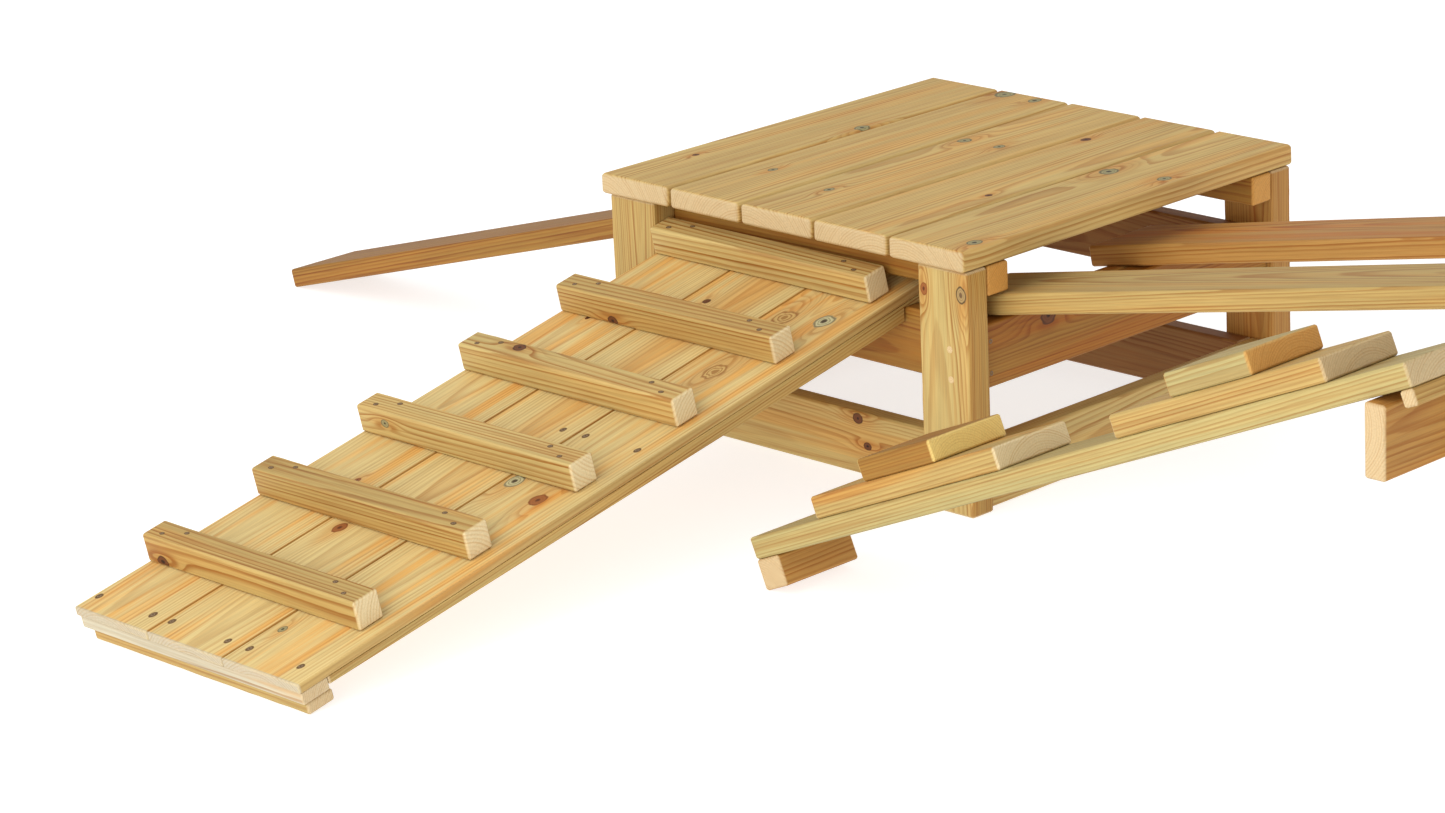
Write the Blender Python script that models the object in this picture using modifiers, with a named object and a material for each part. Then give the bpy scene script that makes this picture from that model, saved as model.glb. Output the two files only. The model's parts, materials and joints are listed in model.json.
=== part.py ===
"""Timber climbing platform with a cleated ramp, a balance plank, a two-plank bridge and a stepped plank.

The deck frame of reference used by the constants has its corner at the front left of the deck, on the
ground: X runs along the deck's front edge, Y runs back along the planks and Z is up. The whole model is
then shifted so that the middle of its footprint is the world origin.
"""

from math import atan, cos, pi, sin, tan

import bmesh
import bpy
from mathutils import Matrix, Vector

GAP = 0.0003  # between pieces that touch

# Sawn timber sections
PLANK_WIDTH = 0.145
PLANK_THICKNESS = 0.032
POST_WIDTH = 0.095
POST_DEPTH = 0.045
RAIL_THICKNESS = 0.032
RAIL_HEIGHT = 0.097
BATTEN = 0.045
EASE = 0.0035  # rounding on sawn edges
FINE_EASE = 0.0015  # rounding on the thin ramp boards
EASE_SEGMENTS = 2
SHARPEST_SMOOTH_ANGLE = pi / 8
WELD_DISTANCE = 0.00005

# Platform
DECK_PLANKS = 5
DECK_PLANK_GAP = 0.005
DECK_LENGTH = 0.745
DECK_TOP = 0.400
DECK_WIDTH = DECK_PLANKS * PLANK_WIDTH + (DECK_PLANKS - 1) * DECK_PLANK_GAP
DECK_UNDER = DECK_TOP - PLANK_THICKNESS
POST_INSET_LEFT = 0.012
POST_INSET_ENDS = 0.007
APRON_BOTTOM = 0.182
APRON_TOP = APRON_BOTTOM + RAIL_HEIGHT
APRON_SETBACK = 0.010  # behind the posts' outer faces, at the left and right sides
LOW_RAIL_BOTTOM = 0.002

# Ramp, hooked over the front apron
RAMP_LEFT = 0.108
RAMP_WIDTH = 0.475
RAMP_BOARDS = 3
RAMP_BOARD_GAP = 0.0012
RAMP_BOARD_THICKNESS = 0.014
RAMP_FOOT_Y = -1.112
RAMP_FOOT_TOP = 0.0475
RAMP_LENGTH = 1.262
RAMP_TOP_AT_DECK = 0.2885  # height of the ramp's surface under the deck's front edge
RAMP_SLOPE = atan((RAMP_TOP_AT_DECK - RAMP_FOOT_TOP) / -RAMP_FOOT_Y)
CLEATS = 6
CLEAT_FIRST = 0.134
CLEAT_PITCH = 0.2015
CLEAT_LENGTH = 0.450
CLEAT_SIZE = 0.044
STRINGER_WIDTH = 0.032
STRINGER_LOW_DEPTH = 0.011
STRINGER_HIGH_DEPTH = 0.028
FOOT_UPPER_THICKNESS = 0.018
FOOT_UPPER_WIDTH = 0.048
FOOT_LOWER_THICKNESS = 0.0177
FOOT_UPPER_START = 0.002
FOOT_LOWER_START = 0.006
FOOT_LOWER_END = 0.052
FOOT_INSET = 0.010
MID_BATTEN_AT = 0.645
MID_BATTEN_THICKNESS = 0.010
HOOK_CLEARANCE = 0.007
RAMP_HOOK_CLEARANCE = 0.012
RAMP_HOOK_DEPTH = 0.030
RAMP_HOOK_WIDTH = 0.030

# Balance plank, hooked over the left apron
BALANCE_FRONT = 0.185
BALANCE_LOW_X = -0.992  # where its lower end meets the ground
BALANCE_INNER_X = 0.150
BALANCE_HOOK_CLEARANCE = 0.011
BALANCE_HOOK_DEPTH = 0.030

# Bridge of two planks, rising from the right apron
BRIDGE_NEAR_FRONT = 0.085
BRIDGE_FAR_FRONT = 0.403
BRIDGE_INNER_X = 0.632
BRIDGE_LENGTH = 1.200
BRIDGE_RISE = 0.1902  # metres up for each metre along X
BRIDGE_SLOPE = atan(BRIDGE_RISE)
BRIDGE_BATTEN_THICKNESS = 0.032
BRIDGE_HOOK_WIDTH = 0.040
BRIDGE_BATTEN_INSET = 0.005
BRIDGE_END_CLEARANCE = 0.011

# Trestle that carries the far ends of the bridge and the stepped plank
TRESTLE_X = 1.765  # face of the crossbar that looks at the platform
TRESTLE_CROSSBAR_FRONT = -0.400  # the crossbar reaches past the near post to carry the stepped plank
TRESTLE_POST_FRONT = -0.235
TRESTLE_BACK = 0.655
TRESTLE_POST_HEIGHT = 0.540

# Stepped plank with two humps
STEPPED_FRONT = -0.390
STEPPED_LOW_X = 0.701
STEPPED_LOW_Z = 0.0409
STEPPED_LENGTH = 1.222
HUMP_STARTS = (0.144, 0.728)
HUMP_LENGTH = 0.369
HUMP_BLOCK_OFFSET = 0.112
STEPPED_HOOK_WIDTH = 0.022
STEPPED_HOOK_CLEARANCE = 0.012

RIGHT_APRON_INNER = DECK_WIDTH - APRON_SETBACK - RAIL_THICKNESS
LEFT_APRON_OUTER = POST_INSET_LEFT + APRON_SETBACK
LEFT_APRON_INNER = LEFT_APRON_OUTER + RAIL_THICKNESS
FRONT_APRON_OUTER = POST_INSET_ENDS + POST_DEPTH + GAP
FRONT_APRON_INNER = FRONT_APRON_OUTER + RAIL_THICKNESS
BACK_APRON_OUTER = DECK_LENGTH - FRONT_APRON_OUTER


def timber_material(name, colour):
    """A plain matt wood finish."""
    material = bpy.data.materials.new(name)
    material.use_nodes = True
    shader = material.node_tree.nodes["Principled BSDF"]
    shader.inputs["Base Color"].default_value = (*colour, 1.0)
    shader.inputs["Roughness"].default_value = 0.65
    shader.inputs["Metallic"].default_value = 0.0
    return material


def empty(name, location, parent=None):
    """A named pivot that carries the pieces of one moving group."""
    pivot = bpy.data.objects.new(name, None)
    bpy.context.scene.collection.objects.link(pivot)
    pivot.location = location
    pivot.parent = parent
    return pivot


def ease_edges(piece, width):
    """Round a piece's edges with a Bevel modifier."""
    bevel = piece.modifiers.new("eased_edges", "BEVEL")
    bevel.width = width
    bevel.segments = EASE_SEGMENTS
    bevel.limit_method = "ANGLE"
    bevel.angle_limit = SHARPEST_SMOOTH_ANGLE


def add_piece(name, mesh, parent, centre, turn, material):
    """Place a mesh at a point of the deck frame, turned about its own centre, under a parent empty."""
    piece = bpy.data.objects.new(name, mesh)
    mesh.materials.append(material)
    timbers.objects.link(piece)
    piece.parent = parent
    piece.location = Vector(centre) - parent.location
    piece.rotation_euler = turn
    return piece


def timber(name, size, centre, parent, material, turn=(0.0, 0.0, 0.0), ease=EASE):
    """A sawn length of timber: a cuboid with eased edges."""
    mesh = bpy.data.meshes.new(name)
    shape = bmesh.new()
    bmesh.ops.create_cube(shape, size=1.0)
    bmesh.ops.scale(shape, vec=Vector(size), verts=shape.verts)
    shape.to_mesh(mesh)
    shape.free()
    piece = add_piece(name, mesh, parent, centre, turn, material)
    ease_edges(piece, ease)
    return piece


def timber_between(name, low, high, parent, material, ease=EASE):
    """A level length of timber given by its lowest and highest corners in the deck frame."""
    low, high = Vector(low), Vector(high)
    return timber(name, high - low, (low + high) / 2, parent, material, ease=ease)


class Incline:
    """A sloping line of timber: along it, across it and square to its top."""

    def __init__(self, start, slope, axis):
        self.start = Vector(start)
        self.runs_along_x = axis == "Y"
        if self.runs_along_x:
            self.along = Vector((cos(slope), 0.0, sin(slope)))
            self.normal = Vector((-sin(slope), 0.0, cos(slope)))
            self.across = Vector((0.0, 1.0, 0.0))
            self.turn = (0.0, -slope, 0.0)
        else:
            self.along = Vector((0.0, cos(slope), sin(slope)))
            self.normal = Vector((0.0, -sin(slope), cos(slope)))
            self.across = Vector((1.0, 0.0, 0.0))
            self.turn = (slope, 0.0, 0.0)

    def block(self, name, along, across, normal, parent, material, ease=EASE):
        """Timber that fills the given ranges along, across and square to the slope."""
        middle = (
            self.start
            + self.along * (along[0] + along[1]) / 2
            + self.across * (across[0] + across[1]) / 2
            + self.normal * (normal[0] + normal[1]) / 2
        )
        length, width, depth = along[1] - along[0], across[1] - across[0], normal[1] - normal[0]
        size = (length, width, depth) if self.runs_along_x else (width, length, depth)
        return timber(name, size, middle, parent, material, turn=self.turn, ease=ease)


def make_deck(root):
    """Five deck planks that run from front to back."""
    for number in range(DECK_PLANKS):
        left = number * (PLANK_WIDTH + DECK_PLANK_GAP)
        timber_between(
            f"deck_plank_{number + 1}",
            (left, 0.0, DECK_UNDER),
            (left + PLANK_WIDTH, DECK_LENGTH, DECK_TOP),
            root,
            deck_wood,
        )


def make_frame(root):
    """Posts, the bearers under the deck, the aprons and the low rails."""
    post_back = DECK_LENGTH - POST_INSET_ENDS
    sides = {"left": POST_INSET_LEFT, "right": DECK_WIDTH - POST_WIDTH}
    ends = {"front": POST_INSET_ENDS, "back": post_back - POST_DEPTH}
    for end, near in ends.items():
        for side, left in sides.items():
            timber_between(
                f"post_{end}_{side}",
                (left, near, 0.0),
                (left + POST_WIDTH, near + POST_DEPTH, DECK_UNDER - GAP),
                root,
                post_wood,
            )
    bearer_bottom = DECK_UNDER - GAP - BATTEN
    for end, near in {"front": FRONT_APRON_OUTER, "back": BACK_APRON_OUTER - BATTEN}.items():
        timber_between(
            f"deck_bearer_{end}",
            (POST_INSET_LEFT, near, bearer_bottom),
            (DECK_WIDTH, near + BATTEN, DECK_UNDER - GAP),
            root,
            bearer_wood,
        )
    for level, bottom in {"apron": APRON_BOTTOM, "low_rail": LOW_RAIL_BOTTOM}.items():
        top = bottom + RAIL_HEIGHT
        for end, near in {"front": FRONT_APRON_OUTER, "back": BACK_APRON_OUTER - RAIL_THICKNESS}.items():
            timber_between(
                f"{level}_{end}",
                (LEFT_APRON_INNER + GAP, near, bottom),
                (RIGHT_APRON_INNER - GAP, near + RAIL_THICKNESS, top),
                root,
                rail_wood,
            )
        for side, left in {"left": LEFT_APRON_OUTER, "right": RIGHT_APRON_INNER}.items():
            timber_between(
                f"{level}_{side}",
                (left, FRONT_APRON_OUTER, bottom),
                (left + RAIL_THICKNESS, BACK_APRON_OUTER, top),
                root,
                rail_wood,
            )


def make_ramp_stringer(name, left, incline, parent):
    """A tapered side bearer, cut out at its top end to sit over the front apron."""
    under = -RAMP_BOARD_THICKNESS - GAP

    def on_slope(along, depth):
        point = incline.start + incline.along * along + incline.normal * (under - depth)
        return point.y, point.z

    low_end = FOOT_UPPER_WIDTH + 2 * GAP
    seat_front = FRONT_APRON_OUTER - HOOK_CLEARANCE / 2
    high_run = (seat_front - RAMP_FOOT_Y) / cos(RAMP_SLOPE)
    seat_back = FRONT_APRON_INNER
    top_run = (seat_back - RAMP_FOOT_Y) / cos(RAMP_SLOPE)
    outline = [
        on_slope(low_end, 0.0),
        on_slope(low_end, STRINGER_LOW_DEPTH),
        (seat_front, on_slope(high_run, STRINGER_HIGH_DEPTH)[1]),
        (seat_front, APRON_TOP + GAP),
        (seat_back, APRON_TOP + GAP),
        on_slope(top_run, 0.0),
    ]
    curve = bpy.data.curves.new(name, "CURVE")
    curve.dimensions = "2D"
    curve.fill_mode = "BOTH"
    curve.extrude = STRINGER_WIDTH / 2
    spline = curve.splines.new("POLY")
    spline.points.add(len(outline) - 1)
    for point, (y, z) in zip(spline.points, outline):
        point.co = (y - parent.location.y, z - parent.location.z, 0.0, 1.0)
    spline.use_cyclic_u = True
    flat = bpy.data.objects.new(name, curve)
    timbers.objects.link(flat)
    bpy.context.view_layer.update()
    graph = bpy.context.evaluated_depsgraph_get()
    mesh = bpy.data.meshes.new_from_object(flat.evaluated_get(graph))
    bpy.data.objects.remove(flat)
    shape = bmesh.new()
    shape.from_mesh(mesh)
    bmesh.ops.remove_doubles(shape, verts=shape.verts, dist=WELD_DISTANCE)
    # The flat outline was drawn in X and Y: stand it up so that it lies in Y and Z.
    stand_up = Matrix(((0, 0, 1, 0), (1, 0, 0, 0), (0, 1, 0, 0), (0, 0, 0, 1)))
    bmesh.ops.transform(shape, matrix=stand_up, verts=shape.verts)
    bmesh.ops.recalc_face_normals(shape, faces=shape.faces)
    shape.to_mesh(mesh)
    shape.free()
    mesh.name = name
    middle = (left + STRINGER_WIDTH / 2, parent.location.y, parent.location.z)
    piece = add_piece(name, mesh, parent, middle, (0.0, 0.0, 0.0), ramp_wood)
    ease_edges(piece, FINE_EASE)


def make_ramp(parent):
    """Three boards on two stringers, six cleats, the foot battens and the hook."""
    incline = Incline((RAMP_LEFT, RAMP_FOOT_Y, RAMP_FOOT_TOP), RAMP_SLOPE, "X")
    board_width = (RAMP_WIDTH - (RAMP_BOARDS - 1) * RAMP_BOARD_GAP) / RAMP_BOARDS
    for number in range(RAMP_BOARDS):
        left = number * (board_width + RAMP_BOARD_GAP)
        incline.block(
            f"ramp_board_{number + 1}",
            (0.0, RAMP_LENGTH),
            (left, left + board_width),
            (-RAMP_BOARD_THICKNESS, 0.0),
            parent,
            ramp_wood,
            ease=FINE_EASE,
        )
    for number in range(CLEATS):
        near = CLEAT_FIRST + number * CLEAT_PITCH
        incline.block(
            f"ramp_cleat_{CLEATS - number}",
            (near, near + CLEAT_SIZE),
            (0.0, CLEAT_LENGTH),
            (GAP, GAP + CLEAT_SIZE),
            parent,
            cleat_wood,
        )
    make_ramp_stringer("ramp_stringer_left", RAMP_LEFT, incline, parent)
    make_ramp_stringer("ramp_stringer_right", RAMP_LEFT + RAMP_WIDTH - STRINGER_WIDTH, incline, parent)
    under = -RAMP_BOARD_THICKNESS - GAP
    upper_bottom = under - FOOT_UPPER_THICKNESS
    incline.block(
        "ramp_foot_upper",
        (FOOT_UPPER_START, FOOT_UPPER_WIDTH),
        (FOOT_INSET / 2, RAMP_WIDTH - GAP),
        (upper_bottom, under),
        parent,
        ramp_wood,
        ease=FINE_EASE,
    )
    incline.block(
        "ramp_foot_lower",
        (FOOT_LOWER_START, FOOT_LOWER_END),
        (2 * FOOT_INSET, RAMP_WIDTH - GAP),
        (upper_bottom - GAP - FOOT_LOWER_THICKNESS, upper_bottom - GAP),
        parent,
        ramp_wood,
    )
    between_stringers = (STRINGER_WIDTH + GAP, RAMP_WIDTH - STRINGER_WIDTH - GAP)
    incline.block(
        "ramp_middle_batten",
        (MID_BATTEN_AT, MID_BATTEN_AT + BATTEN),
        between_stringers,
        (under - MID_BATTEN_THICKNESS, under),
        parent,
        ramp_wood,
        ease=FINE_EASE,
    )
    hook_start = (FRONT_APRON_INNER + RAMP_HOOK_CLEARANCE - RAMP_FOOT_Y) / cos(RAMP_SLOPE)
    incline.block(
        "ramp_hook_batten",
        (hook_start, hook_start + RAMP_HOOK_WIDTH),
        (0.0, RAMP_WIDTH),
        (under - RAMP_HOOK_DEPTH, under),
        parent,
        ramp_wood,
        ease=FINE_EASE,
    )


def make_balance_plank(parent):
    """A plank from the ground up to the left apron, with a hook batten behind the apron."""
    slope = atan((APRON_TOP + GAP) / (LEFT_APRON_OUTER - BALANCE_LOW_X))
    incline = Incline((BALANCE_LOW_X, BALANCE_FRONT, 0.0), slope, "Y")
    incline.block(
        "balance_plank",
        (0.0, (BALANCE_INNER_X - BALANCE_LOW_X) / cos(slope)),
        (0.0, PLANK_WIDTH),
        (0.0, PLANK_THICKNESS),
        parent,
        dark_wood,
    )
    hook_start = (LEFT_APRON_INNER + BALANCE_HOOK_CLEARANCE - BALANCE_LOW_X) / cos(slope)
    incline.block(
        "balance_hook_batten",
        (hook_start, hook_start + BATTEN),
        (GAP, PLANK_WIDTH - GAP),
        (-GAP - BALANCE_HOOK_DEPTH, -GAP),
        parent,
        dark_wood,
    )


def make_bridge(root):
    """Two planks side by side, tied by the hook batten inside the apron and a batten at the trestle."""
    inner_edge_z = APRON_TOP + GAP + (BRIDGE_INNER_X - RIGHT_APRON_INNER) * BRIDGE_RISE
    incline = Incline((BRIDGE_INNER_X, 0.0, inner_edge_z), BRIDGE_SLOPE, "Y")
    for name, front in {"near": BRIDGE_NEAR_FRONT, "far": BRIDGE_FAR_FRONT}.items():
        incline.block(
            f"bridge_plank_{name}",
            (0.0, BRIDGE_LENGTH),
            (front, front + PLANK_WIDTH),
            (0.0, PLANK_THICKNESS),
            root,
            bridge_wood,
        )
    module = (BRIDGE_NEAR_FRONT + BRIDGE_BATTEN_INSET, BRIDGE_FAR_FRONT + PLANK_WIDTH - BRIDGE_BATTEN_INSET)
    hook_end = (RIGHT_APRON_INNER - HOOK_CLEARANCE - BRIDGE_INNER_X) / cos(BRIDGE_SLOPE)
    incline.block(
        "bridge_hook_batten",
        (hook_end - BRIDGE_HOOK_WIDTH, hook_end),
        module,
        (-GAP - BRIDGE_BATTEN_THICKNESS, -GAP),
        root,
        bearer_wood,
    )
    end_batten = (TRESTLE_X - BRIDGE_END_CLEARANCE - BRIDGE_INNER_X) / cos(BRIDGE_SLOPE) - BATTEN
    incline.block(
        "bridge_end_batten",
        (end_batten, end_batten + BATTEN),
        module,
        (-GAP - BRIDGE_BATTEN_THICKNESS, -GAP),
        root,
        bearer_wood,
    )


def crossbar_top():
    """Height of the trestle's crossbar, just under the bridge planks."""
    return APRON_TOP + (TRESTLE_X - RIGHT_APRON_INNER) * BRIDGE_RISE


def make_trestle(root):
    """Two posts, a crossbar and a low rail."""
    top = crossbar_top()
    post_face = TRESTLE_X + RAIL_THICKNESS + GAP
    for name, near in {"near": TRESTLE_POST_FRONT, "far": TRESTLE_BACK - POST_WIDTH}.items():
        timber_between(
            f"trestle_post_{name}",
            (post_face, near, 0.0),
            (post_face + POST_DEPTH, near + POST_WIDTH, TRESTLE_POST_HEIGHT),
            root,
            post_wood,
        )
    rails = {
        "crossbar": (TRESTLE_CROSSBAR_FRONT, top - RAIL_HEIGHT),
        "low_rail": (TRESTLE_POST_FRONT, LOW_RAIL_BOTTOM),
    }
    for name, (near, bottom) in rails.items():
        timber_between(
            f"trestle_{name}",
            (TRESTLE_X, near, bottom),
            (TRESTLE_X + RAIL_THICKNESS, TRESTLE_BACK, bottom + RAIL_HEIGHT),
            root,
            rail_wood,
        )


def make_stepped_plank(parent):
    """A steep plank with a foot batten and two stepped humps, hooked over the trestle's crossbar."""
    rise = crossbar_top() + GAP - STEPPED_LOW_Z
    slope = atan(rise / (TRESTLE_X - STEPPED_LOW_X))
    incline = Incline((STEPPED_LOW_X, STEPPED_FRONT, STEPPED_LOW_Z), slope, "Y")
    width = (0.0, PLANK_WIDTH)
    incline.block("stepped_plank", (0.0, STEPPED_LENGTH), width, (0.0, PLANK_THICKNESS), parent, bridge_wood)
    incline.block("stepped_foot_batten", (0.0, BATTEN), width, (-GAP - BATTEN, -GAP), parent, cleat_wood)
    board_bottom = PLANK_THICKNESS + GAP
    block_bottom = board_bottom + PLANK_THICKNESS + GAP
    for number, start in enumerate(HUMP_STARTS, 1):
        incline.block(
            f"hump_{number}_board",
            (start, start + HUMP_LENGTH),
            width,
            (board_bottom, board_bottom + PLANK_THICKNESS),
            parent,
            hump_wood,
        )
        block_start = start + HUMP_BLOCK_OFFSET
        incline.block(
            f"hump_{number}_block",
            (block_start, block_start + PLANK_WIDTH),
            width,
            (block_bottom, block_bottom + PLANK_THICKNESS),
            parent,
            hump_wood,
        )
    hook_start = (TRESTLE_X + RAIL_THICKNESS + STEPPED_HOOK_CLEARANCE - STEPPED_LOW_X) / cos(slope)
    incline.block(
        "stepped_hook_batten",
        (hook_start, hook_start + STEPPED_HOOK_WIDTH),
        (GAP, PLANK_WIDTH - GAP),
        (-GAP - BATTEN / 2, -GAP),
        parent,
        cleat_wood,
    )


def centre_on_origin(root):
    """Shift the whole model so that the middle of its footprint is the world origin."""
    bpy.context.view_layer.update()
    graph = bpy.context.evaluated_depsgraph_get()
    corners = []
    for piece in timbers.objects:
        shown = piece.evaluated_get(graph)
        corners += [shown.matrix_world @ vertex.co for vertex in shown.data.vertices]
    low = Vector(min(corner[axis] for corner in corners) for axis in range(3))
    high = Vector(max(corner[axis] for corner in corners) for axis in range(3))
    middle = (low + high) / 2
    root.location = (-middle.x, -middle.y, -low.z)
    bpy.context.view_layer.update()


for old in list(bpy.data.objects):
    bpy.data.objects.remove(old)

timbers = bpy.data.collections.new("climbing_platform")
bpy.context.scene.collection.children.link(timbers)

deck_wood = timber_material("deck_wood", (0.60, 0.42, 0.22))
post_wood = timber_material("post_wood", (0.56, 0.44, 0.21))
bearer_wood = timber_material("bearer_wood", (0.60, 0.38, 0.18))
rail_wood = timber_material("rail_wood", (0.48, 0.30, 0.14))
ramp_wood = timber_material("ramp_wood", (0.72, 0.54, 0.28))
cleat_wood = timber_material("cleat_wood", (0.44, 0.33, 0.15))
dark_wood = timber_material("dark_wood", (0.46, 0.28, 0.12))
bridge_wood = timber_material("bridge_wood", (0.58, 0.46, 0.22))
hump_wood = timber_material("hump_wood", (0.62, 0.42, 0.18))

platform = empty("platform", (0.0, 0.0, 0.0))
ramp_pivot = empty("ramp_pivot", (0.0, FRONT_APRON_INNER, APRON_TOP), platform)
balance_pivot = empty("balance_pivot", (LEFT_APRON_OUTER, 0.0, APRON_TOP), platform)
stepped_pivot = empty("stepped_pivot", (TRESTLE_X, 0.0, crossbar_top()), platform)

make_deck(platform)
make_frame(platform)
make_ramp(ramp_pivot)
make_balance_plank(balance_pivot)
make_bridge(platform)
make_trestle(platform)
make_stepped_plank(stepped_pivot)
centre_on_origin(platform)
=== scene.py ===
"""Looks of a timber climbing platform: planed, pressure-treated softwood with knots, screws and plugs."""

import json
from dataclasses import dataclass
from math import atan2, ceil, copysign, pi, radians

import bmesh
import bpy
from mathutils import Matrix, Vector, noise


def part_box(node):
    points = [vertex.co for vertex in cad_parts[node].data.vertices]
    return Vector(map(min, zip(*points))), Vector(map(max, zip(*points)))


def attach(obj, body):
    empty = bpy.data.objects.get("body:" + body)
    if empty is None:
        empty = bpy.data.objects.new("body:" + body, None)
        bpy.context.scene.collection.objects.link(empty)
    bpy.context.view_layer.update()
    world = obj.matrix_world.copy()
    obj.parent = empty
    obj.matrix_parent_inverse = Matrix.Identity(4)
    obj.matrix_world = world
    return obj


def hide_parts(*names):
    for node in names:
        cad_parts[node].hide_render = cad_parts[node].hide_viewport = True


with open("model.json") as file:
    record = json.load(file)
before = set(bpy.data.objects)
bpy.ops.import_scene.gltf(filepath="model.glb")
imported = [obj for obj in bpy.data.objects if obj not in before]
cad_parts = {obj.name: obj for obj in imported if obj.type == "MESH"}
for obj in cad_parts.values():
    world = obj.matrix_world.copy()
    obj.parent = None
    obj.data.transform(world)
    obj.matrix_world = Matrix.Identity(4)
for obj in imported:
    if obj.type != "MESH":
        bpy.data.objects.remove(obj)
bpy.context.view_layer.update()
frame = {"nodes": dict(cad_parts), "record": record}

bl_info = {
    "name": "Timber climbing platform",
    "version": (1, 0, 0),
    "blender": (4, 5, 0),
    "location": "View3D > Sidebar > Platform",
    "description": "Builds the finished timbers, screws and plugs of a low climbing platform",
    "category": "Object",
}

X, Y, Z = Vector((1, 0, 0)), Vector((0, 1, 0)), Vector((0, 0, 1))


# ---------------------------------------------------------------- settings


def colour_setting(name, description, default):
    return bpy.props.FloatVectorProperty(name=name, description=description, subtype="COLOR", default=default)


def length_setting(name, description, default):
    return bpy.props.FloatProperty(name=name, description=description, unit="LENGTH", default=default)


def angle_setting(name, description, degrees):
    return bpy.props.FloatProperty(
        name=name, description=description, subtype="ANGLE", default=radians(degrees)
    )


def number_setting(name, description, default, unit="NONE"):
    return bpy.props.FloatProperty(name=name, description=description, unit=unit, default=default)


class WoodSettings(bpy.types.PropertyGroup):
    """Colours and sizes that all timbers share."""

    late: colour_setting("Latewood", "Filter of the dark growth lines", (0.60, 0.35, 0.16))
    core: colour_setting("Heartwood", "Filter of the wood near the heart", (0.93, 0.72, 0.52))
    blush: colour_setting("Blush", "Filter of the pinkish streaks", (1.0, 0.74, 0.48))
    ease: length_setting("Edge rounding", "Radius planed on a timber's edges", 0.0035)
    deck_ease: length_setting("Deck rounding", "Radius on the deck planks' edges", 0.0055)
    fine_ease: length_setting("Fine rounding", "Radius on the thin boards' edges", 0.0015)
    wear: length_setting("Edge wear", "Most that handling took off an edge", 0.0009)
    cut_pitch: length_setting("Cut pitch", "Distance between a timber's cross cuts", 0.022)


class FixingSettings(bpy.types.PropertyGroup):
    """Sizes and colours of the screws and plugs."""

    screw_radius: length_setting("Screw radius", "Radius of a screw's head", 0.0036)
    sunk_screw_radius: length_setting("Sunk screw radius", "What is seen of a screw sunk in a cleat", 0.0026)
    screw_colour: colour_setting("Screw colour", "Brown coating of the screws", (0.22, 0.14, 0.07))
    rubbed_colour: colour_setting("Rubbed colour", "The coating where it is rubbed", (0.10, 0.06, 0.03))
    plug_radius: length_setting("Plug radius", "Radius of a plug in a post", 0.0052)
    plug_colour: colour_setting("Plug colour", "Pale wood of the plugs", (0.66, 0.50, 0.27))


class StageSettings(bpy.types.PropertyGroup):
    """Floor, lights and camera."""

    floor_size: length_setting("Floor size", "Side of the floor", 60.0)
    floor_colour: colour_setting("Floor colour", "Pale studio floor", (0.50, 0.50, 0.50))
    floor_glow: number_setting("Floor glow", "Light that comes up through the floor", 1.45)
    camera_place: bpy.props.FloatVectorProperty(
        name="Camera place",
        description="Where the camera stands",
        unit="LENGTH",
        default=(4.597, -4.412, 2.189),
    )
    heading: angle_setting("Heading", "Turn of the camera about the vertical", 44.99)
    look_down: angle_setting("Look down", "Tilt of the camera below the level", 17.43)
    roll: angle_setting("Roll", "Turn of the camera about its own axis", -2.38)
    lens: number_setting("Lens", "Focal length in millimetres", 115.2, unit="CAMERA")
    key_power: number_setting("Key power", "Power of the main soft light", 250.0, unit="POWER")
    fill_share: number_setting("Fill share", "Power of the front light, as a share of the key", 0.44)
    sky_strength: number_setting("Sky strength", "Strength of the even light all round", 0.75)


# ---------------------------------------------------------------- how each timber lies


@dataclass
class Lie:
    """A timber's middle, its length, width and thickness, and the turn from those three to the world."""

    centre: Vector
    size: Vector
    turn: Matrix

    def matrix(self):
        return Matrix.Translation(self.centre) @ self.turn.to_4x4()

    def local(self, point):
        """A world point measured along, across and through the timber from its middle."""
        return self.turn.transposed() @ (point - self.centre)


SLOPES = {
    "ramp_": ("ramp_board_2", X),
    "balance_": ("balance_plank", Y),
    "bridge_": ("bridge_plank_near", Y),
    "stepped_": ("stepped_plank", Y),
    "hump_": ("stepped_plank", Y),
}


def corners(node):
    """The different points of a node's mesh."""
    points = {vertex.co[:] for vertex in frame["nodes"][node].data.vertices}
    return [Vector(point) for point in sorted(points)]


def slope_axes(node, level):
    """Along, across and square to the top of a sloping plank that is level in one direction."""
    points = corners(node)
    middle = sum(points, Vector()) / len(points)
    run = Y if level == X else X
    runs = [(point - middle).dot(run) for point in points]
    rises = [point.z - middle.z for point in points]
    shared = sum(a * b for a, b in zip(runs, rises))
    angle = 0.5 * atan2(2 * shared, sum(a * a for a in runs) - sum(b * b for b in rises))
    turn = Matrix.Rotation(angle, 3, level if level == X else -level)
    return turn @ run, level, turn @ Z


def lie_of(node):
    """Find a timber's own axes from its CAD solid."""
    along, across, normal = Y, X, Z
    for prefix, (reference, level) in SLOPES.items():
        if node.startswith(prefix):
            along, across, normal = slope_axes(reference, level)
    points = corners(node)
    spans = []
    for axis in (along, across, normal):
        reach = [point.dot(axis) for point in points]
        spans.append((round(max(reach) - min(reach), 5), (max(reach) + min(reach)) / 2, axis))
    centre = sum((span[1] * span[2] for span in spans), Vector())
    longest = max(spans, key=lambda span: span[0])
    others = [span for span in spans if span is not longest]
    thinnest = min(reversed(others), key=lambda span: span[0])
    width_axis = thinnest[2].cross(longest[2])
    widest = next(span for span in others if span is not thinnest)
    turn = Matrix((longest[2], width_axis, thinnest[2])).transposed()
    return Lie(centre, Vector((longest[0], widest[0], thinnest[0])), turn)


# ---------------------------------------------------------------- shader helpers


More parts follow.
